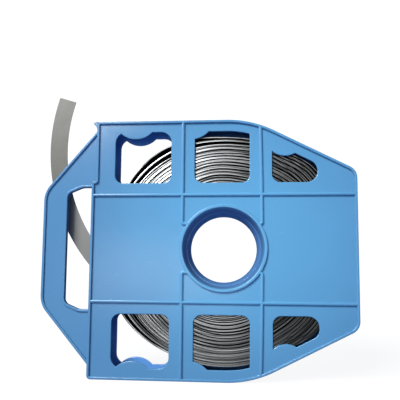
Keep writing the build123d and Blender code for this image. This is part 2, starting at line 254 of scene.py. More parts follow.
def cut_round(points, centre, radius, steps=16):
    """Takes a round bite, about a centre outside it, out of a closed outline."""
    around = np.array(points) - np.array(centre)
    inside = np.linalg.norm(around, axis=1) < radius
    count = len(points)
    start = next(i for i in range(count) if inside[i] and not inside[i - 1])
    i = start
    while inside[i % count]:
        i += 1
    enter = crossing(around[start - 1], around[start], radius)
    leave = crossing(around[i % count], around[(i - 1) % count], radius)
    begin = atan2(enter[1], enter[0])
    sweep = (atan2(leave[1], leave[0]) - begin + pi) % tau - pi
    kept = arc(centre, radius, begin, begin + sweep, steps)
    while not inside[i % count]:
        kept.append(points[i % count])
        i += 1
    return kept


def mitres(points, closed):
    """For each point of a path, the way to its left that keeps an even distance from the path."""
    path = np.array(points, float)
    ahead = np.roll(path, -1, 0) - path
    behind = path - np.roll(path, 1, 0)
    if not closed:
        ahead[-1] = behind[-1]
        behind[0] = ahead[0]
    ahead /= np.linalg.norm(ahead, axis=1)[:, None]
    behind /= np.linalg.norm(behind, axis=1)[:, None]
    left = np.stack((-ahead[:, 1], ahead[:, 0]), 1)
    both = left + np.stack((-behind[:, 1], behind[:, 0]), 1)
    both /= np.linalg.norm(both, axis=1)[:, None]
    return both / np.sum(both * left, 1)[:, None]


def shifted(points, distance, closed=True):
    """The path moved to its left by a distance."""
    moved = np.array(points) + mitres(points, closed) * distance
    return [tuple(p) for p in moved]


def turning_left(points):
    """The closed outline in the order that has its inside to the left."""
    loop = np.array(points)
    ahead = np.roll(loop, -1, 0)
    area = np.sum(loop[:, 0] * ahead[:, 1] - ahead[:, 0] * loop[:, 1])
    return list(points) if area > 0 else list(points)[::-1]


def mirrored(points):
    """The outline below the middle instead of above it."""
    return [(x, -z) for x, z in points]


class Moulding:
    """Gathers the closed bodies that make one piece. Depth is measured outwards from the middle."""

    def __init__(self, side=-1):
        self.side = side
        self.points = []
        self.faces = []

    def add(self, points, faces):
        """Adds points (x, depth, z) and faces between them."""
        base = len(self.points)
        self.points += [(x, self.side * depth, z + HALF_HEIGHT) for x, depth, z in points]
        self.faces += [tuple(base + i for i in face) for face in faces]

    def sweep(self, path, profile, closed=False):
        """Runs a closed profile of (inset, depth) along a path. An open path gets ends."""
        across = mitres(path, closed)
        points = []
        for (x, z), (left_x, left_z) in zip(path, across):
            points += [(x + left_x * inset, depth, z + left_z * inset) for inset, depth in profile]
        size = len(profile)
        faces = []
        for i in range(len(path) - (0 if closed else 1)):
            j = (i + 1) % len(path)
            for k in range(size):
                after = (k + 1) % size
                faces.append((i * size + k, i * size + after, j * size + after, j * size + k))
        if not closed:
            faces.append(tuple(range(size)))
            faces.append(tuple((len(path) - 1) * size + k for k in range(size)))
        self.add(points, faces)

    def slab(self, outer, holes, low, high, soft):
        """A flat plate between two depths, with holes and softened edges."""
        quarter = [radians(a) for a in (0, 30, 60, 90)]
        profile = [(soft * (1 - sin(a)), low + soft * (1 - cos(a))) for a in quarter]
        profile += [(soft * (1 - cos(a)), high - soft * (1 - sin(a))) for a in quarter]
        loops = [turning_left(outer)] + [turning_left(hole)[::-1] for hole in holes]
        points = []
        faces = []
        ends = ([], [])
        for loop in loops:
            across = mitres(loop, True)
            base = len(points)
            for inset, depth in profile:
                points += [(x + m[0] * inset, depth, z + m[1] * inset) for (x, z), m in zip(loop, across)]
            size = len(loop)
            for row in range(len(profile) - 1):
                for i in range(size):
                    j = (i + 1) % size
                    first = base + row * size
                    faces.append((first + i, first + j, first + size + j, first + size + i))
            ends[0].append([base + i for i in range(size)])
            ends[1].append([base + (len(profile) - 1) * size + i for i in range(size)])
        for end in ends:
            flat = [[Vector((points[i][0], points[i][2], 0)) for i in loop] for loop in end]
            order = [i for loop in end for i in loop]
            faces += [tuple(order[i] for i in triangle) for triangle in tessellate_polygon(flat)]
        self.add(points, faces)

    def turn(self, profile, steps=144):
        """Turns a closed profile of (radius, depth) about the hub's axis."""
        even = cos(pi / steps)
        inward = [((1.0 - radius) * even, depth) for radius, depth in profile]
        self.sweep(circle((0, 0), 1.0, steps), inward, closed=True)

    def mesh(self, name, wall=None):
        """The gathered bodies as one mesh, with their outsides facing out, and the wall beside them."""
        mesh = bpy.data.meshes.new(name)
        mesh.from_pydata(self.points, [], self.faces)
        work = bmesh.new()
        work.from_mesh(mesh)
        bmesh.ops.remove_doubles(work, verts=work.verts, dist=SAME_PLACE)
        bmesh.ops.dissolve_degenerate(work, edges=work.edges, dist=SAME_PLACE)
        bmesh.ops.recalc_face_normals(work, faces=work.faces)
        work.to_mesh(mesh)
        if wall:
            work.clear()
            work.from_mesh(mesh)
            work.from_mesh(wall)
            work.to_mesh(mesh)
            bpy.data.meshes.remove(wall)
        work.free()
        return mesh


def placed(name, data):
    """A new object in the scene."""
    made = bpy.data.objects.new(name, data)
    bpy.context.scene.collection.objects.link(made)
    return made


def show(mesh, materials, sharp=40):
    """Makes a mesh into a piece with its materials, smooth except at sharp edges."""
    piece = placed(mesh.name, mesh)
    for material in materials:
        mesh.materials.append(material)
    mesh.polygons.foreach_set("use_smooth", [True] * len(mesh.polygons))
    mesh.set_sharp_from_angle(angle=radians(sharp))
    flat = piece.modifiers.new("flat faces stay flat", "WEIGHTED_NORMAL")
    flat.keep_sharp = True
    return piece


def cut_away(mesh, cutter):
    """The mesh without what lies in the cutter, as a new mesh."""
    body, tool = placed("body", mesh), placed("tool", cutter)
    cut = body.modifiers.new("cut", "BOOLEAN")
    cut.operation = "DIFFERENCE"
    cut.object = tool
    cut.solver = "EXACT"
    bpy.context.view_layer.update()
    made = bpy.data.meshes.new_from_object(body.evaluated_get(bpy.context.evaluated_depsgraph_get()))
    for used in (body, tool):
        bpy.data.objects.remove(used)
    return made


class ToteShape:
    """Outlines that both shells share, from the tote's sizes."""

    def __init__(self, t):
        self.left = SHELL_LOW.x
        self.right = SHELL_HIGH.x
        self.upper_left = self.left + t.jog_depth
        self.face = t.room + t.plate
        self.crest = self.face + t.rib_height
        slope = t.shoulder_slope
        up = pi / 2
        self.shoulder_centre = (t.shoulder_x, HALF_HEIGHT - t.shoulder_radius)
        shoulder = arc(self.shoulder_centre, t.shoulder_radius, up - slope, up, 20)
        self.slope_x, self.slope_z = shoulder[0]
        self.slope_fall = tan(slope)
        corner_z = self.slope_z - (self.right - self.slope_x) * self.slope_fall
        self.corners = [(self.right, -corner_z, t.right_corner), (self.right, corner_z, t.right_corner)]
        self.corners += [(x, z, 0) for x, z in shoulder]
        small_corner = 0.8 * MM
        self.corners += [
            (self.upper_left, HALF_HEIGHT, small_corner),
            (self.upper_left, t.jog_height, small_corner),
            (self.left, t.jog_height, small_corner),
            (self.left, -HALF_HEIGHT, t.left_corner),
        ]
        self.corners += [(x, -z, 0) for x, z in shoulder[::-1]]
        self.outline = rounded(self.corners)
        upper = [self.left_window(t), self.middle_window(t), self.right_window(t)]
        self.windows = upper + [mirrored(window) for window in upper]

    def left_window(self, t):
        """Window nearest the handle, with a round bite for its post."""
        from_side, from_rib, post_from_middle, bite = mm(24.3, 12.4, 8.1, 23.8)
        edge, end = self.left + from_side, t.rib_left - from_rib
        top, sill = HALF_HEIGHT - t.window_inset, t.window_inner
        corners = [(end, top, t.window_big_corner), (edge, top, t.window_big_corner)]
        corners += [(edge, sill, t.window_corner), (end, sill, t.window_corner)]
        self.post_left = (edge + end) / 2 - post_from_middle
        return cut_round(rounded(corners), (self.post_left, HALF_HEIGHT + BITE_ABOVE), bite)

    def middle_window(self, t):
        """Window whose upper edge follows the shoulder, with a bite at its corner."""
        from_left_rib, from_right_rib, post_from_rib, bite = mm(12.5, 12.3, 8.5, 24.6)
        edge, end = t.rib_left + from_left_rib, t.rib_right - from_right_rib
        top, sill = HALF_HEIGHT - t.window_inset, t.window_inner
        radius = t.shoulder_radius - t.window_inset
        last = acos((end - t.shoulder_x) / radius)
        crown = arc(self.shoulder_centre, radius, last, pi / 2, 12)
        corners = [(end, sill, t.window_corner)] + [(x, z, 0) for x, z in crown]
        corners += [(edge, top, 0), (edge, sill, t.window_corner)]
        self.post_middle = t.rib_left + post_from_rib
        return cut_round(rounded(corners), (self.post_middle, HALF_HEIGHT + BITE_ABOVE), bite)

    def right_window(self, t):
        """Window whose upper edge follows the slope down to a round nose."""
        from_rib, from_side, post_along, bite_inside, bite = mm(10.7, 39.0, 4.0, 1.0, 19.7)
        fullest_nose = 0.97
        slope = t.shoulder_slope
        edge, end = t.rib_right + from_rib, self.right - from_side
        top = self.slope_z - t.window_inset / cos(slope)
        edge_z = top - (edge - self.slope_x) * self.slope_fall
        end_z = top - (end - self.slope_x) * self.slope_fall
        nose = fullest_nose * (end_z - t.window_inner) / (1 + tan(pi / 4 - slope / 2))
        corners = [(edge, t.window_inner, t.window_corner), (end, t.window_inner, nose)]
        corners += [(end, end_z, nose), (edge, edge_z, 0)]
        away = self.slope_x * sin(slope) + self.slope_z * cos(slope)
        across = np.array((sin(slope), cos(slope)))
        down = np.array((cos(slope), -sin(slope)))
        self.post_right = tuple(across * (away - t.wall - POST_FROM_WALL) + down * post_along)
        return cut_round(rounded(corners), across * (away - bite_inside) + down * post_along, bite)

    def crown_height(self, t, x):
        """Height of the outline's top on the shoulder."""
        return self.shoulder_centre[1] + sqrt(t.shoulder_radius**2 - (x - t.shoulder_x) ** 2)

    def posts(self, t):
        """Places of the posts that join the shells."""
        z = HALF_HEIGHT - t.wall - POST_FROM_WALL
        upper = [(self.post_left, z), (self.post_middle, z), self.post_right]
        return upper + mirrored(upper)


def rib_profile(t, foot, crest):
    """Rounded cross-section of a rib, from its foot in the plate to its crest."""
    rise, flare = mm(1.5, 0.1)
    half = t.rib_width / 2
    crown = [
        (half * cos(a), crest - rise * (1 - sin(a))) for a in np.linspace(0, pi, 13)
    ]
    return [(half + flare, foot)] + crown + [(-half - flare, foot)]


def round_edge(crest):
    """Quarter round of a rim or an edge, as (inset, depth) up to its crest."""
    return [
        (EDGE_ROUNDING * (1 - cos(a)), crest - EDGE_ROUNDING * (1 - sin(a)))
        for a in np.linspace(0, pi / 2, 7)
    ]


def shell_wall(t, shape, side):
    """Wall and rim of one shell as a mesh, with the strap's slot cut through."""
    seam, lap, sunk, reach = mm(0.25, 0.1, 0.7, 4.0)
    wall = Moulding(side)
    rim = t.rim_width
    crown = round_edge(shape.crest)
    foot = t.room + sunk
    profile = [(seam, 0), (0, seam)] + crown + [(rim - inset, depth) for inset, depth in crown[::-1]]
    profile += [(rim + lap, foot), (t.wall, foot), (t.wall, 0)]
    wall.sweep(shape.outline, profile, closed=True)
    slot = Moulding()
    low, high = t.slot_height - t.slot_length / 2, t.slot_height + t.slot_length / 2
    near, far = shape.left - reach, shape.left + reach
    slot.slab([(near, low), (far, low), (far, high), (near, high)], [], -reach, reach, soft=0.6 * MM)
    return cut_away(wall.mesh("wall"), slot.mesh("slot"))


def add_ribs(t, shape, shell):
    """Two upright ribs that hook in to the hub at both ends, and two level ribs."""
    sunk, into_rim, from_rim, bow_start = mm(0.8, 1.2, 1.4, 12.0)
    left_hook, left_bend, right_hook, right_bend = mm(8.0, 2.2, 4.5, 2.0)
    hook, bow = t.rib_hook, t.rib_bow
    rib = rib_profile(t, shape.face - sunk, shape.crest)
    left = [(t.rib_left + left_hook, hook, 0), (t.rib_left, hook, left_bend)]
    left += [(t.rib_left, HALF_HEIGHT - into_rim, 0)]
    right = [(t.rib_right - right_hook, hook, 0), (t.rib_right, hook, right_bend)]
    right_end = shape.crown_height(t, t.rib_right - bow) - from_rim
    for z in np.linspace(hook + bow_start, right_end, 12):
        right.append((t.rib_right - bow * (z / HALF_HEIGHT) ** 2, z, 0))
    level_ends = (shape.left + into_rim, shape.right - into_rim)
    for up in (1, -1):
        for upright in (left, right):
            shell.sweep([(x, z * up) for x, z in rounded(upright, 6)], rib)
        shell.sweep([(x, t.rib_cross * up) for x in level_ends], rib)


def add_lip(t, shape, shell):
    """The lip that stands out at the upper left corner, over the handle."""
    inside, foot = mm(1.2, 9.0)
    side, top, reach = shape.upper_left, HALF_HEIGHT, t.lip_reach
    lip = [
        (side + inside, top), (side - reach, top), (side - reach, top - 2.2 * MM),
        (side - 0.7 * reach, top - 3.1 * MM), (side - 0.3 * reach, top - 4.95 * MM),
        (side - 0.1 * reach, top - 6.8 * MM), (side, top - foot), (side + inside, top - foot),
    ]
    shell.slab(lip, [], 0, shape.crest - 0.1 * MM, soft=0.4 * MM)


def tote_shell(t, shape, side):
    """What both shells share: the face, ribs and lip as gathered bodies, and the wall's mesh."""
    shell = Moulding(side)
    into_rim, into_ring = mm(1.0, 0.8)
    hub_hole = circle((0, 0), (t.hub_mouth if side < 0 else t.hub_throat) + into_ring, 96)
    moved = shifted([corner[:2] for corner in shape.corners], into_rim)
    inner_edge = rounded(
        [(x, z, max(0, corner[2] - into_rim)) for (x, z), corner in zip(moved, shape.corners)]
    )
    shell.slab(inner_edge, shape.windows + [hub_hole], t.room, shape.face, t.softness)
    add_ribs(t, shape, shell)
    add_lip(t, shape, shell)
    return shell, shell_wall(t, shape, side)


def square(place, half):
    """Square outline about a place."""
    x, z = place
    return [(x - half, z - half), (x + half, z - half), (x + half, z + half), (x - half, z + half)]


def steps_from(radius, depth, steps):
    """Points (radius, depth) of a ring's edge, from steps outwards and down in millimetres."""
    return [(radius + out * MM, depth - down * MM) for out, down in steps]


class TOTE_OT_front_shell(bpy.types.Operator):
    """Front shell with its windows, hub ring and handle"""

    bl_idname = "tote.front_shell"
    bl_label = "Front shell"

    def execute(self, context):
        t = context.scene.tote_sizes
        shape = ToteShape(t)
        shell, wall = tote_shell(t, shape, -1)
        crest = shape.crest
        ring, mouth, inner = t.hub_outer, t.hub_mouth, t.hub_middle
        profile = [(ring, 0)] + steps_from(ring, crest, ((0, 1.0), (-0.15, 0.5), (-0.5, 0.12), (-1.0, 0)))
        profile += steps_from(mouth, crest, ((0.9, 0.02), (0.4, 0.2), (0.1, 0.6), (0, 1.1)))
        profile += steps_from(mouth, t.room, ((-0.1, -1.0),)) + steps_from(inner, 0, ((0, -0.15), (0.2, 0)))
        shell.turn(profile)
        socket_end, cap_start = mm(8.6, 8.5)
        for place in shape.posts(t):
            post = circle(place, POST_RADIUS, 24)
            shell.slab(post, [square(place, SOCKET_HALF)], 0, socket_end, soft=0.2 * MM)
            shell.slab(post, [], cap_start, t.room + POST_IN_FACE, soft=0.05 * MM)
        self.handle(t, shape, shell)
        moulded = plastic(context.scene.finishes, shape.face)
        piece = show(shell.mesh("front_moulding", wall), [moulded])
        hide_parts("front_shell")
        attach(piece, "root")
        return {"FINISHED"}

    def handle(self, t, shape, shell):
        """The handle: a web between two raised edges."""
        bend_from_side, bend_radius, grip_corner = mm(15.5, 14.0, 7.0)
        corner_past_grip, start_below_top, into_body = mm(2.2, 8.6, 1.0)
        grip_left = shape.left - t.grip_reach
        grip_top = t.grip_half + t.grip_flare
        bend = grip_left + bend_from_side
        corner = t.grip_half + corner_past_grip
        start = HALF_HEIGHT - start_below_top
        fall = (start - corner) / (shape.upper_left - HANDLE_SIDE)
        upper_end, lower_end = shape.upper_left + into_body, shape.left + into_body
        outer = [(HANDLE_SIDE, corner, t.handle_corner), (HANDLE_SIDE, -corner, t.handle_corner)]
        first = (upper_end, start + fall * into_body, 0)
        last = (lower_end, -start + fall * (shape.upper_left - lower_end), 0)
        outer = rounded([first, *outer, last], 12)
        grip = [(lower_end, grip_top, 0), (bend, grip_top, bend_radius)]
        grip += [(grip_left, t.grip_half, grip_corner)]
        grip = rounded(grip + [(x, -z, radius) for x, z, radius in grip[::-1]], 10)
        back = shape.face - t.handle_depth
        web = shape.face - (t.handle_depth + t.handle_web) / 2
        step = [(lower_end, t.jog_height), (upper_end, t.jog_height)]
        shell.slab(outer + grip[::-1] + step, [], web, web + t.handle_web, soft=0.3 * MM)
        half = t.rim_width / 2
        edge = [(0.5 * half, back), (0.85 * half, back + 0.2 * MM), (half, back + 0.8 * MM)]
        edge += [(half - inset, depth) for inset, depth in round_edge(shape.face)]
        profile = edge + [(-across, depth) for across, depth in edge[::-1]]
        shell.sweep(shifted(outer, half, closed=False), profile)
        shell.sweep(shifted(grip, -half, closed=False), profile)


class TOTE_OT_back_shell(bpy.types.Operator):
    """Back shell with its windows, the hub's throat and the pegs"""

    bl_idname = "tote.back_shell"
    bl_label = "Back shell"

    def execute(self, context):
        t = context.scene.tote_sizes
        shape = ToteShape(t)
        shell, wall = tote_shell(t, shape, 1)
        crest, face = shape.crest, shape.face
        ring, mouth, throat = t.hub_outer, t.hub_mouth, t.hub_throat
        profile = [(ring, 0)] + steps_from(ring, crest, ((0, 0.8), (-0.2, 0.25), (-0.7, 0)))
        profile += steps_from(mouth, crest, ((0.7, 0), (0.2, 0.25), (0, 0.8))) + [(mouth, face)]
        profile += steps_from(throat, face, ((2.2, 0),))
        profile += steps_from(throat, crest, ((2.2, 0.6), (1.7, 0.1), (1.1, 0), (0.5, 0.1), (0, 0.6)))
        profile += steps_from(throat, crest, ((0, 8.0),))
        profile += steps_from(t.hub_back, 0, ((0, -0.15), (0.2, 0)))
        shell.turn(profile)
        peg_end, peg_root = mm(-5.0, 1.0)
        for place in shape.posts(t):
            shell.slab(circle(place, POST_RADIUS, 24), [], 0, t.room + POST_IN_FACE, soft=0.2 * MM)
            shell.slab(square(place, PEG_HALF), [], peg_end, peg_root, soft=0.3 * MM)
        moulded = plastic(context.scene.finishes, shape.face)
        piece = show(shell.mesh("back_moulding", wall), [moulded])
        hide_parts("back_shell")
        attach(piece, "root")
        return {"FINISHED"}


def smooth(share):
    """Eases a share between 0 and 1, as a number or an array."""
    return share * share * (3 - 2 * share)


def hump(angles, centre, half):
    """Round the coil, 1 at one angle and falling evenly to 0 at half a width from it, both in degrees."""
    return np.clip(1.0 - np.abs(angles - radians(centre)) / radians(half), 0, 1)


def between(rows, turn, column, share):
    """Value on the way from one turn's row to the next one's."""
    return rows[turn, column] * (1 - share) + rows[turn + 1, column] * share


def waves(rng, angles, strength):
    """A smooth uneven line round the circle."""
    line = np.zeros_like(angles)
    for order in (1, 2, 3, 5, 8):
        line += rng.normal() / order**0.5 * np.cos(order * angles + rng.uniform(0, tau))
    return strength * line / 1.6


class TOTE_OT_strap(bpy.types.Operator):
    """The wound strap and its free end, one length of steel"""

    bl_idname = "tote.strap"
    bl_label = "Steel strap"

    def execute(self, context):
        s = context.scene.strap_sizes
        t = context.scene.tote_sizes
        wound = self.wound(s)
        tail = self.free_end(s, t, wound[0][-1])
        whole = [np.concatenate(both) for both in zip(wound, tail)]
        piece = show(self.ribbon(s, *whole), steel(context.scene.finishes), sharp=30)
        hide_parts("strap_coil")
        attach(piece, "root")
        return {"FINISHED"}

    def gaps(self, s, rng, angles):
        """Gap under each turn, all round: groups of one to three tight turns with wide gaps between."""
        wide, spread, narrowest, tight = 1.4, 0.3, 0.7, 0.05
        gaps = np.zeros((s.turns + 2, len(angles)))
        left_in_group = 2
        for turn in range(s.turns + 2):
            left_in_group -= 1
            if left_in_group <= 0 and turn > HIDDEN_SHARE * s.turns:
                left_in_group = int(rng.choice([1, 2, 2, 3, 3]))
                gap = wide + spread * rng.normal() + waves(rng, angles, spread)
                gaps[turn] = np.clip(gap, narrowest, None) * MM
            else:
                gaps[turn] = np.clip(tight + waves(rng, angles, tight), 0.0, None) * MM
        turned = np.arange(s.turns + 2)[:, None] / s.turns
        upper_left = np.clip(np.cos(angles - radians(130)), 0, None) ** 2
        bottom = np.clip(np.cos(angles - radians(275)), 0, None) ** 2
        opened = 1.0 + 1.6 * upper_left * (turned > 0.9)
        closed = bottom * 0.75 * np.clip((turned - 0.5) / 0.25, 0, 1)
        return gaps * (opened * (1.0 - closed))

    def slack(self, s, gaps, angles, spare):
        """How far each turn stands out from a tight winding, all round."""
        outermost = s.turns - 1
        slack = np.vstack((np.zeros(len(angles)), np.cumsum(gaps, 0)))
        turns = np.arange(len(slack))[:, None]
        spare = spare - s.flat_top * smooth(hump(angles, 88, 28))
        slack *= np.minimum(1.0, spare / slack[outermost])
        slack += (spare - slack[outermost]) * np.clip(turns / (HIDDEN_SHARE * s.turns), 0, 1)
        from_right = np.abs((angles + pi) % tau - pi)
        sag = 1.0 - np.clip((from_right - radians(42)) / radians(17), 0, 1)
        slack += s.sag * smooth(sag) * np.clip((turns / s.turns - 0.4) / 0.6, 0, 1)
        upper_left = s.bulge * smooth(hump(angles, 128, 40))
        lower_left = 1.45 * s.bulge * smooth(hump(angles, 210, 46))
        bulge = np.maximum(upper_left, lower_left)
        shared = 0.45
        slack[s.turns - 4:] += shared * bulge
        slack[outermost:] += (1.0 - shared) * bulge
        return slack

    def wound(self, s, steps=160):
        """The wound turns: middle line, ways across the strap and out of its face, and slants."""
        seed, looseness, first = 12, 0.03 * MM, 0.3
        climb_start, climb_part = 0.41, 0.18
        rng = np.random.default_rng(seed)
        angles = np.linspace(0, tau, steps, endpoint=False)
        pitch = s.thickness + looseness
        inner = s.bore + s.thickness / 2
        spare = s.outside - s.thickness / 2 - inner - pitch * s.turns
        slack = self.slack(s, self.gaps(s, rng, angles), angles, spare)
        rows = s.turns + 3
        strays = np.array([waves(rng, angles, s.unevenness * 0.5) for _ in range(rows)])
        strays += rng.normal(size=(rows, 1)) * s.unevenness * 0.35
        slants = 0.08 - 0.135 * np.minimum(1.5 * hump(angles, 255, 55), 1)
        slants = slants + np.array([0.035 * rng.normal() + waves(rng, angles, 0.02) for _ in range(rows)])
        last = s.turns + (180.0 - LEAVING_ANGLE) / 360.0
        path = []
        slant = []
        for turn in np.arange(first, last, 1.0 / steps).tolist() + [last]:
            whole = int(turn)
            part = turn - whole
            angle = pi - tau * part
            column = int(round(angle / tau * steps)) % steps
            climb = smooth(min(1.0, max(0.0, (part - climb_start) / climb_part)))
            radius = inner + pitch * turn + between(slack, whole, column, climb)
            stray = between(strays, whole, column, climb)
            stray = max(-s.unevenness, min(s.unevenness, stray))
            out = np.array((cos(angle), 0.0, sin(angle)))
            path.append((radius * out + (0.0, stray, 0.0), (0.0, 1.0, 0.0), out))
            slant.append(between(slants, whole, column, climb))
        return *np.swapaxes(path, 0, 1), np.array(slant)

    def free_end(self, s, t, leave):
        """The quarter twist from the last turn to the slot, then the curled blade, in the form of wound."""
        radius, lean = s.tail_radius, s.tail_lean
        inside_slot = 11.5 * MM
        start = pi + lean + inside_slot / radius
        end = pi + lean - s.tail_length / radius
        slot = np.array((SHELL_LOW.x, 0, t.slot_height))
        centre = slot + radius * np.array((cos(lean), 0, sin(lean)))

        def blade(angle):
            """Place on the blade, and the way along it to its tip."""
            way = np.array((sin(angle), 0, -cos(angle)))
            return centre + np.array((cos(angle), 0, sin(angle))) * radius, way

        arrive, arrive_way = blade(start)
        turn = atan2(leave[2], leave[0])
        leave_way = np.array((sin(turn), 0, -cos(turn)))
        span = np.linalg.norm(arrive - leave)
        path = []
        for u in np.linspace(0, 1, 33)[1:]:
            bend = leave_way * (u**3 - 2 * u**2 + u) + arrive_way * (u**3 - u**2)
            place = leave + (arrive - leave) * smooth(u) + bend * span
            bend = leave_way * (3 * u**2 - 4 * u + 1) + arrive_way * (3 * u**2 - 2 * u)
            way = (arrive - leave) * 6 * (u - u**2) + bend * span
            path.append((place, way / np.linalg.norm(way), pi / 2 * smooth(u)))
        path += [(*blade(angle), pi / 2) for angle in np.linspace(start, end, 72)[1:]]
        depth = np.array((0, 1, 0))
        twisted = []
        for place, way, quarter in path:
            across = depth * cos(quarter) + np.cross(way, depth) * sin(quarter)
            twisted.append((place, across, np.cross(across, way)))
        return *np.swapaxes(twisted, 0, 1), np.zeros(len(twisted))

    def ribbon(self, s, places, widths, outs, slants):
        """The strap as a flat bar, its slit edges a little out of square, with its length for the finish."""
        half_wide, half_thick = s.width / 2, s.thickness / 2
        corners = ((-1, -1), (1, -1), (1, 1), (-1, 1))
        points = []
        for place, wide, out, slant in zip(places, widths, outs, slants):
            points += [
                tuple(place + wide * (half_wide * a + slant * half_thick * b) + out * half_thick * b)
                for a, b in corners
            ]
        points = [(x, y, z + HALF_HEIGHT) for x, y, z in points]
        steps = np.linalg.norm(np.diff(places, axis=0), axis=1)
        from_start = np.concatenate(([0], np.cumsum(steps)))
        from_tip = from_start[-1] - from_start
        past_slot = 20.0 * MM
        faces = []
        finishes = []
        for i in range(len(places) - 1):
            rolled = ROLLED_FACE if from_tip[i] > s.tail_length + past_slot else FREE_END
            for k in range(4):
                after = (k + 1) % 4
                faces.append((i * 4 + k, i * 4 + after, i * 4 + 4 + after, i * 4 + 4 + k))
                finishes.append(SLIT_EDGE if k % 2 else rolled)
        faces += [(3, 2, 1, 0), tuple(len(points) - 4 + k for k in range(4))]
        finishes += [SLIT_EDGE, SLIT_EDGE]
        mesh = bpy.data.meshes.new("steel_strap")
        mesh.from_pydata(points, [], faces)
        mesh.polygons.foreach_set("material_index", finishes)
        grain = mesh.attributes.new("along_strap", "FLOAT_VECTOR", "POINT")
        values = [(distance, a * half_wide, b * half_thick) for distance in from_tip for a, b in corners]
        grain.data.foreach_set("vector", np.array(values, np.float32).ravel())
        work = bmesh.new()
        work.from_mesh(mesh)
        bmesh.ops.recalc_face_normals(work, faces=work.faces)
        work.to_mesh(mesh)
        work.free()
        return mesh


class Value:
    """A shader socket that can stand in sums."""

    def __init__(self, nodes, socket):
        self.nodes = nodes
        self.socket = socket

    def sum(self, operation, first, second):
        node = self.nodes.add("ShaderNodeMath", {"operation": operation}, {0: first, 1: second})
        return Value(self.nodes, node.outputs[0])

    def __add__(self, other):
        return self.sum("ADD", self, other)

    def __radd__(self, other):
        return self.sum("ADD", other, self)

    def __rsub__(self, other):
        return self.sum("SUBTRACT", other, self)

    def __mul__(self, other):
        return self.sum("MULTIPLY", self, other)

    def __rmul__(self, other):
        return self.sum("MULTIPLY", other, self)

    def __abs__(self):
        return self.sum("ABSOLUTE", self, 0.0)


class Nodes:
    """The nodes of one material or world."""

    def __init__(self, owner):
        owner.use_nodes = True
        self.tree = owner.node_tree
        self.tree.nodes.clear()

    def add(self, kind, settings=None, inputs=None):
        """Adds a node. Its settings are set first, then the values or links of its sockets."""
        node = self.tree.nodes.new(kind)
        for name, value in (settings or {}).items():
            setattr(node, name, value)
        for name, value in (inputs or {}).items():
            socket = node.inputs[name]
            if isinstance(value, Value):
                self.tree.links.new(value.socket, socket)
            elif isinstance(value, bpy.types.NodeSocket):
                self.tree.links.new(value, socket)
            elif hasattr(value, "__len__") and socket.type == "RGBA" and len(value) == 3:
                socket.default_value = (*value, 1)
            else:
                socket.default_value = value
        return node

    def noise(self, where, scale, detail=3.0, roughness=0.5):
        """Noise from 0 to 1 at a scale."""
        inputs = {"Vector": where, "Scale": scale, "Detail": detail, "Roughness": roughness}
        return Value(self, self.add("ShaderNodeTexNoise", {}, inputs).outputs[0])

    def band(self, value, low, high):
        """0 below the first level, 1 above the second, and smooth between them."""
        inputs = {"Value": value, "From Min": low, "From Max": high}
        node = self.add("ShaderNodeMapRange", {"interpolation_type": "SMOOTHSTEP"}, inputs)
        return Value(self, node.outputs[0])

    def mix(self, factor, first, second):
        """One colour, changing into another."""
        node = self.add("ShaderNodeMix", {"data_type": "RGBA"}, {0: factor, 6: first, 7: second})
        return node.outputs[2]

    def vectors(self, operation, first, second):
        """Two vectors, added or multiplied part by part."""
        node = self.add("ShaderNodeVectorMath", {"operation": operation}, {0: first, 1: second})
        return node.outputs["Vector"]

    def distance(self, first, second):
        """Distance between two places."""
        node = self.add("ShaderNodeVectorMath", {"operation": "DISTANCE"}, {0: first, 1: second})
        return Value(self, node.outputs["Value"])

    def from_axis(self, where):
        """Distance from the hub's axis."""
        flat = self.vectors("MULTIPLY", where, (1.0, 0.0, 1.0))
        return self.distance(flat, (0.0, 0.0, HALF_HEIGHT))

    def parts(self, where):
        """The three numbers of a vector."""
        node = self.add("ShaderNodeSeparateXYZ", {}, {0: where})
        return [Value(self, node.outputs[axis]) for axis in "XYZ"]

    def glow(self, kind, scene, white, returned):
        """Light that shows white to the camera, dim in reflections and bluish where it is scattered."""
        path = self.add("ShaderNodeLightPath").outputs
        mirrored_ray = Value(self, path["Is Glossy Ray"]) + Value(self, path["Is Transmission Ray"])
        scattered_ray = Value(self, path["Is Diffuse Ray"])
        strength = Value(self, path["Is Camera Ray"]) + scene.studio.reflected * mirrored_ray
        strength = strength + returned * scattered_ray
        tint = self.mix(scattered_ray, white, scene.finishes.room_light)
        return self.add(kind, {}, {"Color": tint, "Strength": strength}).outputs[0], mirrored_ray

    def bump(self, height, strength, distance):
        """Small relief."""
        node = self.add("ShaderNodeBump", {}, {"Height": height, "Strength": strength, "Distance": distance})
        return node.outputs[0]

    def principled(self, inputs):
        """Links a principled shader with these inputs to the output."""
        self.finish(self.add("ShaderNodeBsdfPrincipled", {}, inputs).outputs[0])

    def finish(self, shader, kind="ShaderNodeOutputMaterial"):
        """Links the shader to the output."""
        self.add(kind, {}, {"Surface": shader})


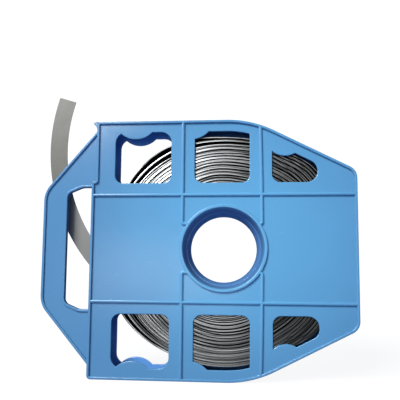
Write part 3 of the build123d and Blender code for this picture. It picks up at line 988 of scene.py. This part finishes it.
def plastic(finishes, face):
    """Moulded plastic with a soft gloss, a fine moulded grain and light handling marks, and with painted
    light and shade: darker away from the plate's middle, lighter and darker inside the tote, and darker deep
    in the hub.
    """
    found = bpy.data.materials.get("moulded_plastic")
    if found:
        return found
    material = bpy.data.materials.new("moulded_plastic")
    n = Nodes(material)
    # Painted shade: the blue darkens with distance from this point, where the light falls off.
    painted_light_middle = (0.02, 0.0, 0.15)
    where = n.add("ShaderNodeTexCoord").outputs["Object"]
    cloud = n.noise(where, 14.0, detail=2.0)
    grain = n.noise(where, 900.0, detail=2.0, roughness=0.6)
    streak = n.noise(n.vectors("MULTIPLY", where, (60.0, 60.0, 900.0)), 1.0, roughness=0.6)
    marks = n.band(streak, 0.66, 0.74) * n.band(cloud, 0.45, 0.6)
    painted_shade = n.band(n.distance(where, painted_light_middle) + 0.05 * cloud, 0.06, 0.22)
    tone = n.mix(painted_shade, finishes.plastic, finishes.plastic_painted_falloff)
    x, y, _ = n.parts(where)
    depth = abs(y)
    past_edge = n.band(x, SHELL_LOW.x + 6.0 * MM, SHELL_LOW.x + 8.0 * MM)
    past_hub = n.band(n.from_axis(where), 44.6 * MM, 45.4 * MM)
    # Painted light and shade on the faces inside the tote: a brighter blue towards the handle, a darker blue
    # further right.
    painted_inside = past_edge * past_hub * (1.0 - n.band(depth, face - 1.3 * MM, face - 0.5 * MM))
    unlit = n.band(x, -52.0 * MM, -36.0 * MM)
    tone = n.mix(painted_inside, tone, n.mix(unlit, finishes.plastic_painted_inner_light, finishes.plastic_painted_inner_shade))
    # Painted shade: a darker blue deep in the hub's bore.
    painted_hub_shade = (1.0 - past_hub) * (1.0 - n.band(depth, face - 6.0 * MM, face + 0.6 * MM))
    tone = n.mix(painted_hub_shade, tone, finishes.plastic_painted_hub_shade)
    pale = n.mix(marks * 0.12, tone, finishes.handled)
    roughness = 0.19 + 0.04 * n.noise(where, 160.0) + 0.12 * marks
    surface = {"Base Color": pale, "Roughness": roughness, "Normal": n.bump(grain, 0.06, 0.3 * MM)}
    n.principled({**surface, "IOR": 1.5, "Specular IOR Level": 0.55})
    return material


def steel(finishes):
    """Bare steel: finishes of the wound faces, the slit edges and the free end, in that order. The wound
    faces carry painted shade, near black with dimmed reflections so the gaps between turns show dark, and the
    free end carries painted light, paler near the slot where the handle shades it.
    """
    made = []
    for name in ("rolled_face_painted_shade", "slit_edge", "free_end"):
        material = bpy.data.materials.new(name)
        n = Nodes(material)
        grain = n.add("ShaderNodeAttribute", {"attribute_name": "along_strap"}).outputs["Vector"]
        lines = n.noise(n.vectors("MULTIPLY", grain, (30.0, 2500.0, 900.0)), 1.0, roughness=0.6)
        patches = n.noise(n.vectors("MULTIPLY", grain, (60.0, 90.0, 90.0)), 1.0, roughness=0.55)
        metallic, tint = 1.0, (1.0, 1.0, 1.0)
        if name == "rolled_face_painted_shade":
            # Painted shade: near-black wound faces with dimmed reflections, so the gaps between turns show
            # dark.
            tone = n.mix(n.band(patches, 0.35, 0.68), finishes.strap_wound_painted_shade, finishes.strap_wound_dull_painted_shade)
            roughness = 0.42 + 0.16 * patches
            tint = (0.4, 0.4, 0.4)
        elif name == "free_end":
            tone = n.mix(n.band(patches, 0.3, 0.7), finishes.strap, finishes.strap_dull)
            tone = n.mix(0.25 * n.band(lines, 0.4, 0.7), tone, finishes.strap_lines)
            # Painted light: the free end is paler from here to the slot, where the handle shades it.
            lower = n.band(n.parts(grain)[0], 85.0 * MM, 120.0 * MM)
            tone = n.mix(lower, tone, finishes.strap_painted_light)
            roughness = 0.44 + 0.06 * patches
            metallic = 0.3
        else:
            where = n.add("ShaderNodeTexCoord").outputs["Object"]
            slow = n.vectors("MULTIPLY", where, (5.0, 5.0, 5.0))
            rings = n.add("ShaderNodeCombineXYZ", {}, {"X": 650.0 * n.from_axis(where)}).outputs[0]
            rings = n.vectors("ADD", rings, slow)
            dull = n.band(n.noise(rings, 1.0, detail=1.0), 0.42, 0.58)
            tone = n.mix(dull, finishes.edge, finishes.edge_dull)
            roughness = 0.28 + 0.12 * patches
        surface = {"Base Color": tone, "Roughness": roughness, "Normal": n.bump(lines, 0.15, 0.2 * MM)}
        n.principled({**surface, "Metallic": metallic, "Specular Tint": tint})
        made.append(material)
    return made


class TOTE_OT_studio(bpy.types.Operator):
    """Pale floor and backdrop, soft lamps and the camera"""

    bl_idname = "tote.studio"
    bl_label = "Studio"

    def execute(self, context):
        scene = context.scene
        scene.view_settings.view_transform = "Standard"
        self.surroundings(scene)
        self.lamps(scene.studio)
        self.camera(scene)
        return {"FINISHED"}

    def surroundings(self, scene):
        """Floor, backdrop and room light. They show white, and the floor keeps the shadow."""
        side, back, top = 4, 2.5, 4
        white, near_white = (1.0, 1.0, 1.0), (0.92, 0.92, 0.92)
        for name, corners in (
            ("floor", ((-side, -side, 0), (side, -side, 0), (side, back, 0), (-side, back, 0))),
            ("backdrop", ((-side, back, 0), (side, back, 0), (side, back, top), (-side, back, top))),
        ):
            mesh = bpy.data.meshes.new(name)
            mesh.from_pydata(corners, [], [(0, 1, 2, 3)])
            piece = placed(name, mesh)
            material = bpy.data.materials.new(name)
            n = Nodes(material)
            where = n.add("ShaderNodeTexCoord").outputs["Object"]
            far = n.band(n.distance(where, (0.0, 0.0, 0.0)), 0.25, 0.9)
            pale = n.mix(far, near_white, white)
            glow, mirrored_ray = n.glow("ShaderNodeEmission", scene, pale, scene.studio.returned)
            ground = n.mix(mirrored_ray, scene.finishes.floor, scene.finishes.floor_mirrored)
            matt = n.add("ShaderNodeBsdfDiffuse", {}, {"Color": ground})
            both = n.add("ShaderNodeAddShader", {}, {0: matt.outputs[0], 1: glow})
            n.finish(both.outputs[0])
            mesh.materials.append(material)
        scene.world = scene.world or bpy.data.worlds.new("room")
        n = Nodes(scene.world)
        glow, _ = n.glow("ShaderNodeBackground", scene, white, scene.studio.ambient)
        n.finish(glow, "ShaderNodeOutputWorld")

    def lamps(self, studio):
        """A key lamp at the upper left, and weaker ones above, in front and at the right."""
        hub = Vector((0, 0, HALF_HEIGHT))
        for name, way, distance, size, power in (
            ("key_lamp", (-0.72, -1.0, 0.95), 3.0, (1.4, 1.4), studio.key),
            ("upper_lamp", (-0.42, -1.0, 0.6), 3.0, (0.5, 0.5), studio.upper),
            ("front_lamp", (-0.22, -1.0, -0.03), 1.3, (0.6, 0.3), studio.front),
            ("fill_lamp", (0.95, -1.0, 0.4), 3.0, (1.4, 1.4), studio.fill),
        ):
            data = bpy.data.lights.new(name, "AREA")
            data.energy = power
            data.shape = "RECTANGLE"
            data.size, data.size_y = size
            lamp = placed(name, data)
            lamp.location = hub + Vector(way).normalized() * distance
            lamp.rotation_mode = "QUATERNION"
            lamp.rotation_quaternion = (hub - lamp.location).to_track_quat("-Z", "Y")

    def camera(self, scene):
        """The photograph's viewpoint: low in front, looking a little left and up."""
        frame_pixels, off_centre = 400, (-2.78, 43.69)
        place = mm(8.86, -437.1, 104.8)
        turns = ((4.020, "Z"), (4.522, "X"), (-0.476, "Y"), (90.0, "X"))
        data = bpy.data.cameras.new("camera")
        data.sensor_width = 36.0
        data.lens = scene.studio.focal_pixels / frame_pixels * data.sensor_width
        data.shift_x, data.shift_y = (pixels / frame_pixels for pixels in off_centre)
        data.clip_start = 0.02
        turned = Matrix.Identity(4)
        for angle, axis in turns:
            turned = turned @ Matrix.Rotation(radians(angle), 4, axis)
        scene.camera = placed("camera", data)
        scene.camera.matrix_world = Matrix.Translation(place) @ turned


class TOTE_PT_panel(bpy.types.Panel):
    """Sizes, finishes and the buttons that build each piece"""

    bl_idname = "TOTE_PT_panel"
    bl_label = "Strapping coil in a tote"
    bl_space_type = "VIEW_3D"
    bl_region_type = "UI"
    bl_category = "Strapping"

    def draw(self, context):
        scene = context.scene
        for operator in OPERATORS:
            self.layout.operator(operator.bl_idname)
        for group in (scene.tote_sizes, scene.strap_sizes, scene.finishes, scene.studio):
            box = self.layout.box()
            for name in group.__annotations__:
                box.prop(group, name)


GROUPS = {"tote_sizes": ToteSizes, "strap_sizes": StrapSizes, "finishes": Finishes, "studio": Studio}
OPERATORS = (TOTE_OT_front_shell, TOTE_OT_back_shell, TOTE_OT_strap, TOTE_OT_studio)
CLASSES = (*GROUPS.values(), *OPERATORS, TOTE_PT_panel)


def register():
    """Registers the classes and gives the scene its settings."""
    for kind in CLASSES:
        bpy.utils.register_class(kind)
    for name, group in GROUPS.items():
        setattr(bpy.types.Scene, name, PointerProperty(type=group))


def unregister():
    """Takes the settings and classes away again."""
    for name in GROUPS:
        delattr(bpy.types.Scene, name)
    for kind in CLASSES[::-1]:
        bpy.utils.unregister_class(kind)


def main():
    """Builds every piece."""
    register()
    bpy.ops.tote.front_shell()
    bpy.ops.tote.back_shell()
    bpy.ops.tote.strap()
    bpy.ops.tote.studio()


if __name__ == "__main__":
    main()
